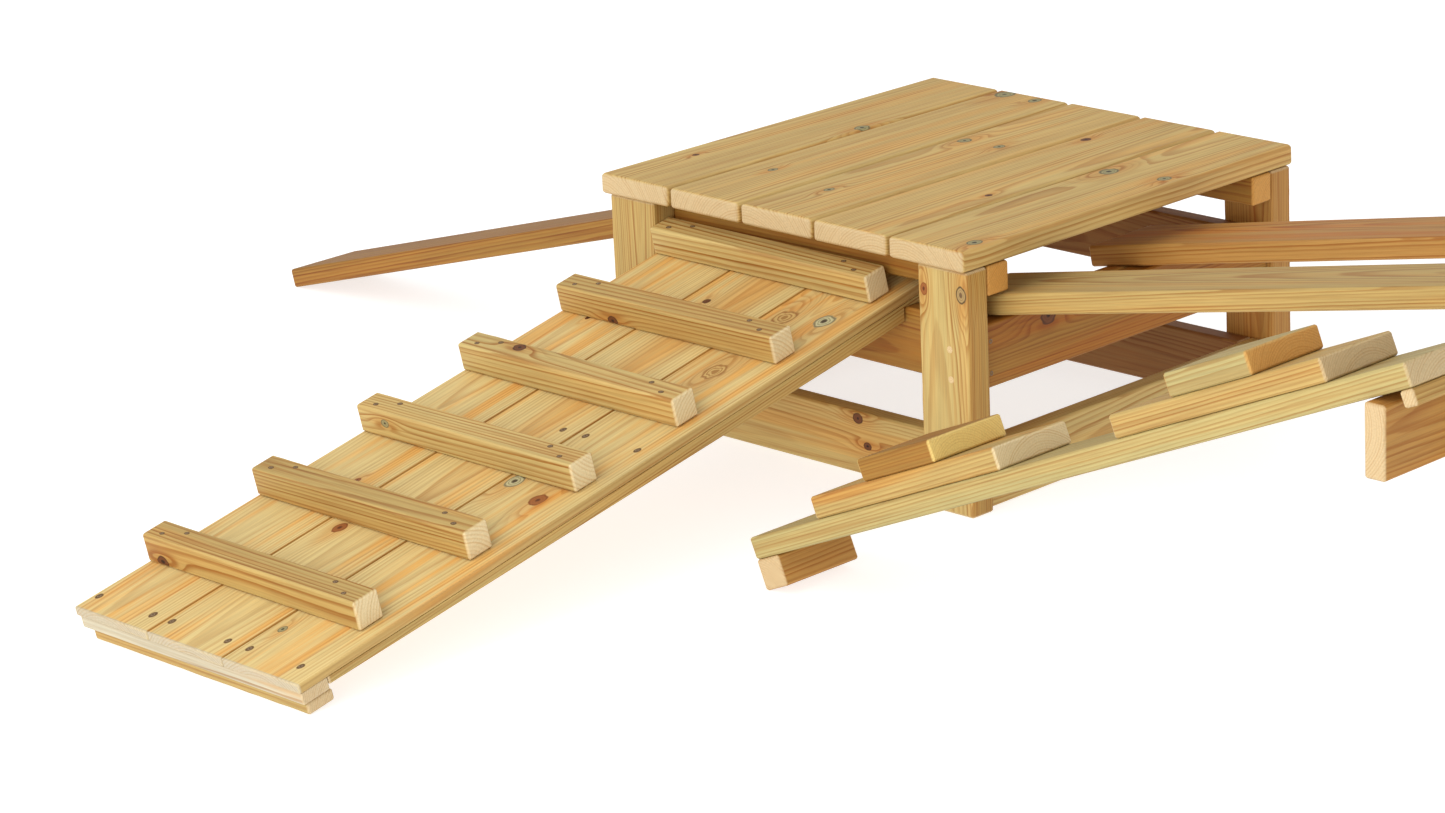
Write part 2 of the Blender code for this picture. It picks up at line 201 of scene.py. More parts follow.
class Signal:
    """A shader value: Python arithmetic on it adds Math nodes."""

    def __init__(self, shader, socket):
        self.shader = shader
        self.socket = socket

    def math(self, operation, *values):
        sockets = dict(enumerate((self, *values)))
        return self.shader.add("ShaderNodeMath", {"operation": operation}, sockets).outputs[0]

    def __add__(self, other):
        return Signal(self.shader, self.math("ADD", other))

    def __mul__(self, other):
        return Signal(self.shader, self.math("MULTIPLY", other))

    def __sub__(self, other):
        return Signal(self.shader, self.math("SUBTRACT", other))

    def __rsub__(self, other):
        return self * -1 + other

    def __truediv__(self, other):
        return Signal(self.shader, self.math("DIVIDE", other))

    def __rtruediv__(self, other):
        return (self ** -1) * other

    def __pow__(self, other):
        return Signal(self.shader, self.math("POWER", other))

    def __abs__(self):
        return Signal(self.shader, self.math("ABSOLUTE"))

    def fraction(self):
        return Signal(self.shader, self.math("FRACT"))

    def root(self):
        return Signal(self.shader, self.math("SQRT"))

    def higher(self, other):
        return Signal(self.shader, self.math("MAXIMUM", other))

    def rise(self, low, high):
        """0 up to low, 1 from high on, and smooth between them."""
        sockets = {"Value": self, "From Min": low, "From Max": high}
        node = self.shader.add("ShaderNodeMapRange", {"interpolation_type": "SMOOTHSTEP"}, sockets)
        return Signal(self.shader, node.outputs["Result"])

    def fall(self, low, high):
        return 1 - self.rise(low, high)

    __radd__ = __add__
    __rmul__ = __mul__


class Shader:
    """A material's nodes."""

    def __init__(self, name):
        self.material = bpy.data.materials.new(name)
        self.material.use_nodes = True
        self.tree = self.material.node_tree
        self.surface = self.tree.nodes["Principled BSDF"]

    def feed(self, socket, value):
        """Give a socket a value or a link."""
        if isinstance(value, Signal):
            value = value.socket
        if isinstance(value, bpy.types.NodeSocket):
            self.tree.links.new(value, socket)
        else:
            socket.default_value = value

    def add(self, kind, settings=None, sockets=None):
        """Add a node, set it up and feed its sockets."""
        node = self.tree.nodes.new(kind)
        for name, value in (settings or {}).items():
            setattr(node, name, value)
        for name, value in (sockets or {}).items():
            self.feed(node.inputs[name], value)
        return node

    def split(self, vector):
        node = self.add("ShaderNodeSeparateXYZ", sockets={0: vector})
        return [Signal(self, socket) for socket in node.outputs]

    def noise(self, vector, stretch, seed, detail=2.0, roughness=0.5):
        """Noise from 0 to 1 whose cells are squeezed by stretch along, across and through the timber."""
        sockets = {"Vector": vector, "Scale": stretch, "Location": (seed, -seed, seed)}
        place = self.add("ShaderNodeMapping", sockets=sockets)
        sockets = {"Vector": place.outputs[0], "Scale": 1.0, "Detail": detail, "Roughness": roughness}
        return Signal(self, self.add("ShaderNodeTexNoise", sockets=sockets).outputs[0])

    def mix(self, factor, first, second, blend="MIX"):
        """Go from the first colour to the second as the factor goes from 0 to 1."""
        settings = {"data_type": "RGBA", "blend_type": blend}
        sockets = {0: factor, 6: colour(first), 7: colour(second)}
        return self.add("ShaderNodeMix", settings, sockets).outputs[2]

    def filter(self, factor, tint, glass):
        """Colour seen through a coloured glass, as far as the factor says."""
        return self.mix(factor, tint, self.mix(1.0, tint, glass, "MULTIPLY"))

    def brighten(self, tint, factor):
        """Scale a colour."""
        return self.add("ShaderNodeVectorMath", {"operation": "SCALE"}, {0: tint, "Scale": factor}).outputs[0]


def colour(value):
    """A colour with its alpha, or a link as it is."""
    if isinstance(value, bpy.types.NodeSocket):
        return value
    return (*value, 1.0)[:4]


def tinted(base, tint):
    """A colour filtered by a tint."""
    return tuple(part * share for part, share in zip(base, tint))


# ---------------------------------------------------------------- wood


HONEY = (0.60, 0.42, 0.15)
STRAW = (0.68, 0.52, 0.22)
BLOND = (0.54, 0.48, 0.34)
WHEAT = (0.54, 0.40, 0.15)
TAN = (0.48, 0.33, 0.11)
OLIVE = (0.43, 0.35, 0.14)
AMBER = (0.46, 0.24, 0.06)
RUSSET = (0.34, 0.17, 0.03)
# A darker brown for the back timbers under the deck: their colour holds painted shade.
SHADED_BROWN = (0.27, 0.13, 0.04)
CREAM_END = (0.57, 0.43, 0.24)
PALE_END = (0.72, 0.59, 0.35)
GREY_END = (0.46, 0.40, 0.29)
AMBER_END = (0.60, 0.30, 0.07)
GOLD_END = (0.80, 0.60, 0.20)
NO_FILTER = (1.0, 1.0, 1.0)


@dataclass
class Knot:
    """A branch that crosses the timber: its place from the timber's middle, its radius and its looks."""

    along: float
    across: float
    radius: float
    kind: str = "pale"
    on_edge: bool = False


@dataclass
class KnotLook:
    """A knot's colours, how much it bends the grain, and how strong its rim is."""

    body: tuple
    centre: tuple
    rim: tuple
    swell: float = 1.0
    rim_share: float = 0.8
    ring_share: float = 0.35


KNOT_LOOKS = {
    "pale": KnotLook((0.58, 0.38, 0.13), (0.36, 0.18, 0.05), (0.30, 0.12, 0.03), swell=1.7, ring_share=0.85),
    "green": KnotLook((0.34, 0.30, 0.14), (0.05, 0.035, 0.02), (0.10, 0.07, 0.03), swell=1.4, ring_share=0.5),
    "dark": KnotLook((0.15, 0.05, 0.015), (0.03, 0.012, 0.006), (0.055, 0.02, 0.007), swell=1.2),
    "red": KnotLook((0.32, 0.11, 0.03), (0.12, 0.035, 0.012), (0.20, 0.06, 0.016), swell=1.2),
    "stained": KnotLook(
        (0.52, 0.48, 0.27), (0.07, 0.05, 0.03), (0.14, 0.09, 0.035), swell=1.5, ring_share=0.6
    ),
    "bark": KnotLook((0.40, 0.27, 0.11), (0.16, 0.09, 0.04), (0.045, 0.020, 0.008), swell=1.2, rim_share=1.0),
    # pit: painted shade of the countersunk hole round a screw head, with a lighter rim.
    "pit": KnotLook((0.12, 0.06, 0.02), (0.10, 0.05, 0.018), (0.20, 0.11, 0.035), swell=0.0, rim_share=0.5),
}


@dataclass
class Grain:
    """How one timber was cut and what it looks like."""

    tint: tuple
    warmth: float = 0.3
    pith: tuple = (0.012, -0.075)
    taper: tuple = (0.004, 0.02)
    ring: float = 0.0036
    drift: float = 0.010
    lines: float = 0.75
    heart: float = 0.0
    joints: tuple = ()
    # Filter of painted shade laid on the timber's two sides.
    side_shade_filter: tuple = NO_FILTER
    end: tuple = CREAM_END
    knots: tuple = ()


SEED_COUNT = 89
SEED_STEP = 1.37
FLUTTER = 0.0012
KNOT_STRETCH = 1.3
HALO_STRETCH = 3.0
BEND_STRETCH = 3.2
BEND_REACH = 1.5
BEND_SHARE = 0.9
KNOT_RINGS = 3.4
WOOD_SPECULAR = 0.25
BUMP_STRENGTH = 0.32
BUMP_DISTANCE = 0.0006
HALO_TINT = (0.90, 0.62, 0.38)
END_LINE_TINT = (0.80, 0.62, 0.44)
# Lightens the edges: partly wear, partly painted highlight.
WORN_AND_HIGHLIT_EDGE_TINT = (1.16, 1.14, 1.10)
JOINT_TINT = (0.56, 0.34, 0.12)
JOINT_WIDTH = 0.0030

# How deep under a face a band starts, and how deep it is at its full strength.
END_BAND = (0.0045, 0.0012)
ARRIS_BAND = (0.0045, 0.0008)
# The band of the painted side shade.
SIDE_SHADE_BAND = (0.0022, 0.0006)
KNOT_BAND = (0.006, 0.003)


def near_face(position, half, band):
    """0 inside the timber and 1 close to the two faces that stand at half on either side of its middle."""
    return abs(position).rise(half - band[0], half - band[1])


def ring_lines(shader, local, distance, ring, seed):
    """Dark latewood lines: they darken slowly outwards and end sharply, some stronger than others."""
    phase = distance / ring
    part = phase.fraction()
    line = part.rise(0.30, 0.86) * part.fall(0.90, 1.0)
    settings = {"noise_dimensions": "1D"}
    sockets = {"W": phase * 0.43 + seed, "Scale": 1.0, "Detail": 1.0}
    strength = shader.add("ShaderNodeTexNoise", settings, sockets)
    along = shader.noise(local, (3.0, 30.0, 30.0), seed + 3.1)
    return line * (Signal(shader, strength.outputs[0]).rise(0.30, 0.70) * 0.75 + 0.25) * (along * 0.5 + 0.75)


def knot_distance(x, side, knot, stretch=KNOT_STRETCH):
    """Distance from a knot's middle in knot radii, longer along the grain."""
    out = (x - knot.along) / (knot.radius * stretch)
    over = (side - knot.across) / knot.radius
    return (out * out + over * over).root()


def paint_knots(shader, tint, height, local, half, knots, jitter):
    """Lay each knot's halo, body, rim and heart over the grain of the two faces that it comes out of."""
    x, y, z = shader.split(local)
    for knot in knots:
        look = KNOT_LOOKS[knot.kind]
        if knot.on_edge:
            side, depth, surface = z, y, half.y
        else:
            side, depth, surface = y, z, half.z
        buried = (1 - near_face(depth, surface, KNOT_BAND)) * 4
        reach = knot_distance(x, side, knot) + jitter + buried
        body = reach.fall(0.90, 1.08)
        if look.swell:
            halo = (knot_distance(x, side, knot, HALO_STRETCH) + buried).fall(0.8, 2.4) * 0.55
            tint = shader.mix(halo, tint, HALO_TINT, "MULTIPLY")
        rings = (reach * KNOT_RINGS).fraction().rise(0.35, 0.9) * body * look.ring_share
        tint = shader.mix(body, tint, look.body)
        tint = shader.mix(rings, tint, look.rim)
        tint = shader.mix(reach.rise(0.72, 0.95) * body * look.rim_share, tint, look.rim)
        tint = shader.mix(reach.fall(0.14, 0.40), tint, look.centre)
        height = height - reach.fall(0.10, 0.30) * 0.6 - reach.rise(0.80, 1.0) * body * 0.5
    return tint, height


def wood(name, lie, grain, marks=()):
    """Solid wood: growth rings round the tree's heart, fibres, knots, sawn ends, edges lightened for wear and
    as painted highlight, and painted shade on the sides where the grain asks for it.
    """
    settings = bpy.context.scene.platform_wood
    seed = (sum(name.encode()) % SEED_COUNT) * SEED_STEP
    base = grain.tint
    shader = Shader(name)
    place = shader.add("ShaderNodeTexCoord").outputs["Object"]
    sockets = {"Vector": place, "Location": lie.centre, "Rotation": lie.turn.to_euler()}
    local = shader.add("ShaderNodeMapping", {"vector_type": "TEXTURE"}, sockets).outputs[0]
    x, y, z = shader.split(local)

    slow = shader.noise(local, (1.3, 9.0, 9.0), seed) - 0.5
    quick = shader.noise(local, (14.0, 90.0, 90.0), seed + 5.3) - 0.5
    fibre = shader.noise(local, (11.0, 420.0, 420.0), seed + 1.9, detail=3.0, roughness=0.65)
    streak = shader.noise(local, (1.5, 34.0, 34.0), seed + 8.7, detail=3.0)
    stripe = shader.noise(local, (2.4, 150.0, 150.0), seed + 6.1, detail=2.0, roughness=0.6)
    cloud = shader.noise(local, (2.2, 7.0, 7.0), seed + 2.3)

    across = y - x * grain.taper[0] - grain.pith[0]
    through = z - x * grain.taper[1] - grain.pith[1]
    distance = (across * across + through * through).root() + slow * grain.drift + quick * FLUTTER
    for knot in grain.knots:
        reach = knot_distance(x, z if knot.on_edge else y, knot, BEND_STRETCH) / BEND_REACH
        squared = reach * reach
        swell = knot.radius * BEND_SHARE * KNOT_LOOKS[knot.kind].swell
        distance = distance + swell / (squared * squared + 1)

    lines = ring_lines(shader, local, distance, grain.ring, seed)
    heart = distance.fall(grain.heart - 0.008, grain.heart + 0.006) if grain.heart else None
    tint = shader.mix(streak.rise(0.47, 0.63) * grain.warmth, base, tinted(base, settings.blush))
    if heart:
        tint = shader.mix(heart * 0.8, tint, tinted(base, settings.core))
    tint = shader.filter(lines * grain.lines, tint, settings.late)
    tint = shader.filter(stripe.rise(0.48, 0.72) * grain.lines * 0.55, tint, settings.late)
    tint = shader.brighten(tint, fibre * 0.50 + stripe * 0.24 + streak * 0.36 + cloud * 0.26 + 0.32)

    half = lie.size / 2
    # Painted shade: the two sides of the timber darkened through a filter.
    if grain.side_shade_filter != NO_FILTER:
        tint = shader.filter(near_face(y, half.y, SIDE_SHADE_BAND), tint, grain.side_shade_filter)
    sawn = near_face(x, half.x, END_BAND)
    end_tint = shader.mix(lines * 0.6, grain.end, tinted(grain.end, END_LINE_TINT))
    end_tint = shader.brighten(end_tint, fibre * 0.5 + 0.74)
    tint = shader.mix(sawn * 0.9, tint, end_tint)

    height = lines * -0.35 + fibre * 0.9
    tint, height = paint_knots(shader, tint, height, local, half, (*grain.knots, *marks), quick * 0.7)

    # Edges painted lighter, unevenly: wear together with painted highlight.
    side = near_face(y, half.y, ARRIS_BAND)
    face = near_face(z, half.z, ARRIS_BAND)
    worn_and_highlit_edge = (side * face).higher(sawn * side).higher(sawn * face) * cloud.rise(0.3, 0.7)
    tint = shader.mix(worn_and_highlit_edge * 0.30, tint, tinted(base, WORN_AND_HIGHLIT_EDGE_TINT))
    for side_sign in grain.joints:
        groove = (y * side_sign).rise(half.y - JOINT_WIDTH, half.y - JOINT_WIDTH * 0.4) * (1 - sawn)
        tint = shader.filter(groove * 0.9, tint, JOINT_TINT)

    shader.feed(shader.surface.inputs["Base Color"], tint)
    shader.feed(shader.surface.inputs["Roughness"], fibre * 0.16 + 0.52)
    shader.surface.inputs["Specular IOR Level"].default_value = WOOD_SPECULAR
    sockets = {"Height": height, "Strength": BUMP_STRENGTH, "Distance": BUMP_DISTANCE}
    bump = shader.add("ShaderNodeBump", sockets=sockets)
    shader.feed(shader.surface.inputs["Normal"], bump.outputs[0])
    return shader.material


# ---------------------------------------------------------------- timbers


def body_of_node(node):
    """The moving body that a CAD node belongs to."""
    bodies = frame["record"]["behaviour"]["bodies"]
    return next(body for body, members in bodies.items() if node in members)


def slot_of_node(node):
    """The finish that a CAD node is given in the record."""
    return next(entry["material_slot"] for entry in frame["record"]["subparts"] if entry["node"] == node)


def add_object(name, mesh, material, body, slot):
    """Show a finished mesh, riding on a body."""
    piece = bpy.data.objects.new(name, mesh)
    bpy.context.scene.collection.objects.link(piece)
    mesh.materials.append(material)
    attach(piece, body)
    return piece


ARRIS_SEGMENTS = 4
WEAR_SCALE = 31
WEAR_OFFSET = 7
# Radii of the painted shade round the screw heads.
BOARD_PIT_SHADE = 0.0052
CLEAT_PIT_SHADE = 0.0038


def sawn_timber(name, lie, ease):
    """A planed length: eased edges, cut across at intervals so that its edges can wear unevenly."""
    settings = bpy.context.scene.platform_wood
    shape = bmesh.new()
    bmesh.ops.create_cube(shape, size=1.0)
    bmesh.ops.scale(shape, vec=lie.size, verts=shape.verts)
    bmesh.ops.bevel(
        shape,
        geom=shape.edges[:],
        offset=ease,
        segments=ARRIS_SEGMENTS,
        profile=0.5,
        affect="EDGES",
        material=-1,
    )
    lengthwise = [edge for edge in shape.edges if edge.calc_length() > lie.size.x / 2]
    cuts = ceil(lie.size.x / settings.cut_pitch)
    bmesh.ops.subdivide_edges(shape, edges=lengthwise, cuts=cuts, use_grid_fill=True)
    half = lie.size / 2 - Vector((ease, ease, ease)) * 0.9
    wear = settings.wear * min(1.0, ease / settings.ease)
    for vert in shape.verts:
        place = vert.co.copy()
        on_edge = sum(abs(place[axis]) > half[axis] for axis in range(3)) >= 2
        if on_edge:
            worn = wear * (0.5 + 0.5 * noise.noise(place * WEAR_SCALE + lie.centre * WEAR_OFFSET))
            for axis in range(3):
                if abs(place[axis]) > half[axis]:
                    vert.co[axis] -= copysign(worn, place[axis])
    bmesh.ops.transform(shape, matrix=lie.matrix(), verts=shape.verts)
    for face in shape.faces:
        face.smooth = True
    mesh = bpy.data.meshes.new(name)
    shape.to_mesh(mesh)
    shape.free()
    return mesh


def finish_timber(node, grain, ease=None, marks=(), pit=BOARD_PIT_SHADE):
    """Stand a finished timber in for its CAD solid."""
    settings = bpy.context.scene.platform_wood
    lie = lie_of(node)
    # Painted shade: a dark pit in the wood round each screw head.
    pit_shades = tuple(Knot(spot.x, spot.y, pit, "pit") for spot in map(lie.local, marks))
    mesh = sawn_timber(f"{node}_finished", lie, ease or settings.ease)
    material = wood(f"{node}_wood", lie, grain, pit_shades)
    piece = add_object(f"{node}_finished", mesh, material, body_of_node(node), slot_of_node(node))
    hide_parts(node)
    normals = piece.modifiers.new("even_faces", "WEIGHTED_NORMAL")
    normals.mode = "FACE_AREA"


def refinish_node(node, grain):
    """Give a CAD solid that already has its final shape its wood."""
    solid = frame["nodes"][node]
    solid.data.materials.clear()
    solid.data.materials.append(wood(f"{node}_wood", lie_of(node), grain))


def deck_grain(pith, *knots):
    """Honey-coloured planks with wide growth rings."""
    return Grain(
        HONEY, warmth=0.45, pith=pith, taper=(0.006, 0.012), ring=0.0042, drift=0.005, knots=knots
    )


def ramp_board_grain(pith, joints, *knots, heart=0.0, side_shade_filter=NO_FILTER):
    """Straw-coloured boards, whose joints are the sides on which they meet a neighbour."""
    return Grain(
        STRAW, warmth=1.0, pith=pith, ring=0.0045, lines=0.55, heart=heart, joints=joints,
        side_shade_filter=side_shade_filter, end=GREY_END, knots=knots,
    )


def cleat_grain(tint, pith, *knots):
    """Cleats with the widest growth rings and the palest ends."""
    return Grain(tint, pith=pith, ring=0.0055, lines=1.0, end=PALE_END, knots=knots)


DECK = {
    "deck_plank_1": deck_grain(
        (0.07, -0.05),
        Knot(0.062, -0.064, 0.011, "green"),
        Knot(-0.21, 0.03, 0.005, "dark"),
    ),
    "deck_plank_2": deck_grain(
        (-0.08, -0.06),
        Knot(-0.203, 0.02, 0.007, "green"),
        Knot(0.35, 0.046, 0.015, "green"),
        Knot(0.348, -0.02, 0.01, "green"),
    ),
    "deck_plank_3": deck_grain(
        (0.06, -0.07),
        Knot(0.096, 0.05, 0.01, "green"),
        Knot(0.1, -0.018, 0.008, "green"),
        Knot(-0.236, 0.02, 0.007, "green"),
    ),
    "deck_plank_4": deck_grain(
        (-0.05, -0.06),
        Knot(-0.12, -0.045, 0.005, "dark"),
        Knot(0.21, 0.052, 0.007, "dark"),
    ),
    "deck_plank_5": deck_grain(
        (0.045, -0.06),
        Knot(0.086, 0.05, 0.014, "green"),
        Knot(0.104, -0.044, 0.01, "green"),
        Knot(-0.322, -0.05, 0.01, "green"),
    ),
}

FRAME = {
    "deck_bearer_front": Grain(RUSSET, end=AMBER_END, pith=(0.05, -0.05), warmth=0.6),
    "deck_bearer_back": Grain(RUSSET, end=AMBER_END, pith=(0.05, -0.05)),
    "post_front_left": Grain(TAN, pith=(0.015, -0.05)),
    "post_front_right": Grain(
        WHEAT, pith=(-0.012, 0.08), taper=(0.0, 0.018), ring=0.0030, drift=0.005, lines=0.8,
        # Painted shade on the post's two sides.
        side_shade_filter=(0.87, 0.74, 0.55),
        knots=(
            Knot(0.148, -0.036, 0.007, "red"),
            Knot(0.150, 0.036, 0.0095, "bark"),
        ),
    ),
    "post_back_left": Grain(TAN, pith=(0.0, 0.05)),
    "post_back_right": Grain(AMBER, pith=(0.02, -0.06)),
    "apron_front": Grain(RUSSET, pith=(0.02, 0.06), warmth=0.6),
    # The back apron and back low rail take the brown that holds painted shade.
    "apron_back": Grain(SHADED_BROWN, pith=(0.02, 0.06)),
    "apron_left": Grain(AMBER, pith=(0.02, -0.06)),
    "apron_right": Grain(
        RUSSET, pith=(0.06, -0.05), warmth=0.8, heart=0.09,
        knots=(
            Knot(-0.182, 0.03, 0.013, "dark"),
            Knot(0.16, -0.02, 0.007, "red"),
        ),
    ),
    "low_rail_front": Grain(
        WHEAT, pith=(0.02, 0.05), warmth=0.6,
        knots=(
            Knot(0.098, -0.038, 0.008, "dark"),
            Knot(0.116, 0.002, 0.006, "dark"),
        ),
    ),
    "low_rail_back": Grain(SHADED_BROWN, pith=(0.02, 0.06)),
    "low_rail_left": Grain(AMBER, pith=(0.02, -0.06)),
    "low_rail_right": Grain(WHEAT, pith=(0.0, -0.06)),
}

RAMP_BOARDS = {
    "ramp_board_1": ramp_board_grain(
        (0.02, -0.05), (-1,),
        Knot(-0.2, -0.03, 0.005, "red"),
        Knot(0.31, 0.02, 0.004, "dark"),
    ),
    "ramp_board_2": ramp_board_grain(
        (-0.01, -0.06), (-1, 1),
        Knot(0.423, 0.04, 0.006, "dark"),
        Knot(-0.308, 0.044, 0.010, "red"),
        heart=0.07,
    ),
    "ramp_board_3": ramp_board_grain(
        (0.01, -0.07), (1,),
        Knot(0.259, 0.021, 0.017, "pale"),
        Knot(0.43, 0.044, 0.017, "pale"),
        Knot(0.444, -0.024, 0.014, "stained"),
        Knot(-0.104, 0.060, 0.013, "stained"),
        Knot(-0.13, -0.014, 0.012, "red"),
        Knot(-0.539, 0.058, 0.006, "green"),
        # Painted shade on the board's two sides.
        side_shade_filter=(0.72, 0.62, 0.50),
    ),
}

RAMP_BATTENS = {
    "ramp_foot_upper": Grain(BLOND, pith=(0.04, -0.03), warmth=0.8),
    "ramp_middle_batten": Grain(HONEY, pith=(0.04, -0.03)),
    "ramp_hook_batten": Grain(HONEY, pith=(0.04, -0.03)),
}

RAMP_LOWER_FOOT = Grain(TAN, pith=(0.04, -0.03))

CLEATS = {
    "ramp_cleat_1": cleat_grain(WHEAT, (0.05, -0.05)),
    "ramp_cleat_2": cleat_grain(TAN, (-0.05, -0.05), Knot(-0.11, -0.016, 0.008, "dark", on_edge=True)),
    "ramp_cleat_3": cleat_grain(WHEAT, (0.04, -0.06), Knot(-0.12, 0.008, 0.009, "dark")),
    "ramp_cleat_4": cleat_grain(WHEAT, (0.05, 0.05), Knot(-0.166, 0.004, 0.0065, "green", on_edge=True)),
    "ramp_cleat_5": cleat_grain(TAN, (-0.04, -0.06)),
    "ramp_cleat_6": cleat_grain(TAN, (0.06, -0.03), Knot(-0.19, -0.014, 0.009, "dark", on_edge=True)),
}

STRINGERS = {
    "ramp_stringer_left": Grain(TAN, pith=(0.03, -0.06), ring=0.004),
    "ramp_stringer_right": Grain(TAN, pith=(0.03, -0.08), ring=0.004, lines=0.9),
}

BALANCE = {
    "balance_plank": Grain(RUSSET, pith=(-0.09, -0.02), ring=0.005, lines=1.0),
    "balance_hook_batten": Grain(RUSSET, pith=(0.04, -0.04)),
}

BRIDGE = {
    "bridge_plank_near": Grain(TAN, pith=(0.01, -0.09)),
    "bridge_plank_far": Grain(AMBER, pith=(0.03, -0.06), warmth=0.8),
    "bridge_hook_batten": Grain(AMBER, pith=(0.04, -0.04)),
    "bridge_end_batten": Grain(AMBER, pith=(0.04, -0.04)),
}

TRESTLE = {
    "trestle_post_near": Grain(TAN, pith=(0.01, -0.05)),
    "trestle_post_far": Grain(TAN, pith=(-0.01, -0.06)),
    "trestle_crossbar": Grain(AMBER, pith=(0.02, -0.06)),
    "trestle_low_rail": Grain(AMBER, pith=(0.02, -0.06)),
}

STEPPED = {
    "stepped_plank": Grain(OLIVE, pith=(0.01, -0.09)),
    "stepped_foot_batten": Grain(AMBER, pith=(0.04, -0.04)),
    "hump_1_board": Grain(TAN, end=PALE_END, pith=(0.01, -0.07), warmth=0.8),
    "hump_1_block": Grain(RUSSET, end=GOLD_END, pith=(-0.02, -0.06)),
    "hump_2_board": Grain(TAN, pith=(0.01, -0.07)),
    "hump_2_block": Grain(OLIVE, end=AMBER_END, pith=(0.02, -0.06)),
    "stepped_hook_batten": Grain(TAN, pith=(0.04, -0.04)),
}


# ---------------------------------------------------------------- screws and plugs


FOOT_SCREW_AT = 0.036
MIDDLE_SCREW_AT = 0.667
FOOT_SCREWS_ACROSS = (0.011, 0.129, 0.170, 0.289, 0.335, 0.440)
MIDDLE_SCREWS_ACROSS = (0.289, 0.335, 0.440)
CLEAT_SCREWS_LEFT = (0.030, 0.065)
CLEAT_SCREWS_RIGHT = (0.035, 0.070)
CLEAT_SCREW_OFFSET = 0.008
APRON_SCREW_INSET = 0.013
APRON_SCREW_HEIGHTS = (0.252, 0.204)
PLUG_PLACES = ((0.036, 0.249), (0.035, 0.204))
HEAD_DEPTH = 0.0016
SCREW_SUNK = 0.0006
SCREW_SPIN = 0.9
RECESS_DEPTH = 0.0012
STAR_SHARE = 0.62
PLUG_SUNK = 0.0004
PLUG_EASE = 0.0003
PORE_TINT = (0.74, 0.56, 0.36)


def ramp_point(along, across):
    """A point on the ramp's top, from its lower left corner."""
    left = lie_of("ramp_board_1")
    rise, up = left.turn.col[0], left.turn.col[2]
    low_left = left.centre - rise * left.size.x / 2 + up * left.size.z / 2
    low_left.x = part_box("ramp_board_1")[0].x
    return low_left + rise * along + X * across


def board_screws():
    """Screws through the boards into the foot battens and the middle batten."""
    foot = [ramp_point(FOOT_SCREW_AT, across) for across in FOOT_SCREWS_ACROSS]
    return foot + [ramp_point(MIDDLE_SCREW_AT, across) for across in MIDDLE_SCREWS_ACROSS]


def cleat_screws(node):
    """Two screws at each end of a cleat's top, set a little to either side of its middle."""
    lie = lie_of(node)
    length, height = lie.size.x, lie.size.z / 2
    alongs = [place - length / 2 for place in CLEAT_SCREWS_LEFT]
    alongs += [length / 2 - place for place in CLEAT_SCREWS_RIGHT]
    points = []
    for number, along in enumerate(alongs):
        side = CLEAT_SCREW_OFFSET if number % 2 else -CLEAT_SCREW_OFFSET
        points.append(lie.matrix() @ Vector((along, side, height)))
    return points


def screw_head(radius):
    """One countersunk head with a star recess, facing +Z, its top just above the origin."""
    shape = bmesh.new()
    bmesh.ops.create_cone(
        shape, cap_ends=True, segments=24, radius1=radius * 0.9, radius2=radius, depth=HEAD_DEPTH
    )
    top = max(shape.faces, key=lambda face: face.calc_center_median().z)
    bmesh.ops.inset_individual(shape, faces=[top], thickness=radius * 0.12, depth=0.00025)
    bmesh.ops.inset_individual(shape, faces=[top], thickness=radius * 0.34, depth=0.0)
    for number, vert in enumerate(top.verts):
        if number % 4 < 2:
            vert.co.x *= STAR_SHARE
            vert.co.y *= STAR_SHARE
    bmesh.ops.inset_individual(shape, faces=[top], thickness=radius * 0.04, depth=-RECESS_DEPTH)
    bmesh.ops.translate(shape, vec=(0, 0, -SCREW_SUNK), verts=shape.verts)
    mesh = bpy.data.meshes.new("screw_head")
    shape.to_mesh(mesh)
    shape.free()
    return mesh


def plug_head(radius):
    """A round wooden plug, facing +Z, sanded nearly flush."""
    shape = bmesh.new()
    bmesh.ops.create_cone(
        shape, cap_ends=True, segments=32, radius1=radius, radius2=radius, depth=HEAD_DEPTH
    )
    rims = [edge for edge in shape.edges if all(vert.co.z > 0 for vert in edge.verts)]
    bmesh.ops.bevel(
        shape, geom=rims, offset=PLUG_EASE, segments=2, profile=0.5, affect="EDGES", material=-1
    )
    bmesh.ops.translate(shape, vec=(0, 0, -PLUG_SUNK), verts=shape.verts)
    mesh = bpy.data.meshes.new("plug_head")
    shape.to_mesh(mesh)
    shape.free()
    return mesh


def scatter(name, head, places, out, material, body, slot):
    """Copies of one head at several places, all facing the same way."""
    shape = bmesh.new()
    turn = Z.rotation_difference(out).to_matrix().to_4x4()
    for number, place in enumerate(places):
        before = len(shape.verts)
        shape.from_mesh(head)
        shape.verts.ensure_lookup_table()
        spin = Matrix.Rotation(number * SCREW_SPIN, 4, "Z")
        bmesh.ops.transform(shape, matrix=Matrix.Translation(place) @ turn @ spin, verts=shape.verts[before:])
    mesh = bpy.data.meshes.new(name)
    shape.to_mesh(mesh)
    shape.free()
    add_object(name, mesh, material, body, slot)


def screw_coating():
    """Brown coated steel, darker and more like bare metal where it is rubbed."""
    settings = bpy.context.scene.platform_fixings
    shader = Shader("brown_screw_coating")
    place = shader.add("ShaderNodeTexCoord").outputs["Object"]
    rub = shader.noise(place, (900.0, 900.0, 900.0), 2.0)
    tint = shader.mix(rub.rise(0.50, 0.75) * 0.7, settings.screw_colour, settings.rubbed_colour)
    shader.feed(shader.surface.inputs["Base Color"], tint)
    shader.feed(shader.surface.inputs["Metallic"], rub.rise(0.45, 0.75) * 0.3 + 0.05)
    shader.feed(shader.surface.inputs["Roughness"], rub * 0.3 + 0.45)
    return shader.material


